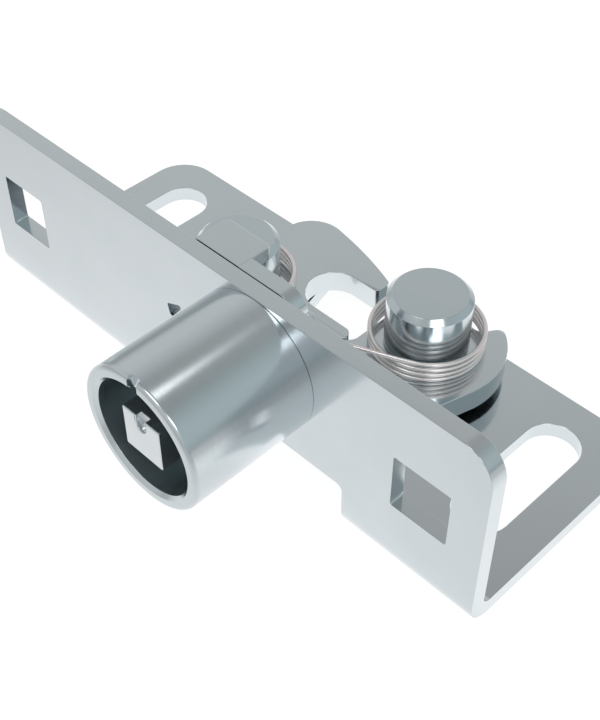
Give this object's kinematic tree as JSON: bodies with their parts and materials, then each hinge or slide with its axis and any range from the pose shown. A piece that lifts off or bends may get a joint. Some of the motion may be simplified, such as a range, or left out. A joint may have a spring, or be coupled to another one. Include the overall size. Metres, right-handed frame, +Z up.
{
  "type": "rotary latch with square key drive",
  "caption": "Rotary latch: bent steel bracket with claw, pawl and coiled springs on upright pins, and a barrel holding a square key spindle whose plate trips the pawl.",
  "frame": {"origin": "under the middle of the whole latch, at the height of the base's underside", "axes": "+X along the bracket to the right as the key's user sees it, +Y from the barrel to the back of the base, +Z up"},
  "size_m": [0.115, 0.069, 0.0373],
  "materials": {
    "zinc_plated_sheet": "satin zinc plate",
    "zinc_plated_turned_steel": "turned and zinc plated",
    "spring_wire": "drawn and plated",
    "seal_rubber": "matte"
  },
  "bodies": {
    "frame": {"bracket": "zinc_plated_sheet", "barrel": "zinc_plated_turned_steel", "claw_pin": "zinc_plated_turned_steel", "claw_washer": "zinc_plated_turned_steel", "claw_spring": "spring_wire", "pawl_pin": "zinc_plated_turned_steel", "pawl_washer": "zinc_plated_turned_steel", "pawl_spring": "spring_wire"},
    "key_spindle": {"spindle": "zinc_plated_turned_steel", "spindle_washer": "zinc_plated_turned_steel", "spindle_seal": "seal_rubber", "release_plate": "zinc_plated_sheet", "plate_washer": "zinc_plated_turned_steel", "plate_screw": "zinc_plated_turned_steel"},
    "claw": {"claw": "zinc_plated_sheet"},
    "pawl": {"pawl": "zinc_plated_sheet"}
  },
  "joints": [
    {"name": "spindle_turn", "type": "hinge", "parent": "frame", "child": "key_spindle", "pos_m": [0.0131, -0.0115, 0.0249], "axis": [0, -1, 0], "range_deg": [0, 36], "stiffness_Nm_per_rad": 0.15, "springref_deg": -20.05},
    {"name": "pawl_pivot", "type": "hinge", "parent": "frame", "child": "pawl", "pos_m": [0.0189, 0.0227, 0.0071], "axis": [0, 0, 1], "range_deg": [0, 24]},
    {"name": "claw_pivot", "type": "hinge", "parent": "frame", "child": "claw", "pos_m": [-0.0143, 0.01005, 0.0071], "axis": [0, 0, 1], "range_deg": [0, 45]}
  ],
  "couplings": [
    {"joint": "pawl_pivot", "follows": "spindle_turn", "ratio": 0.66667},
    {"joint": "claw_pivot", "follows": "spindle_turn", "ratio": 1.25}
  ]
}
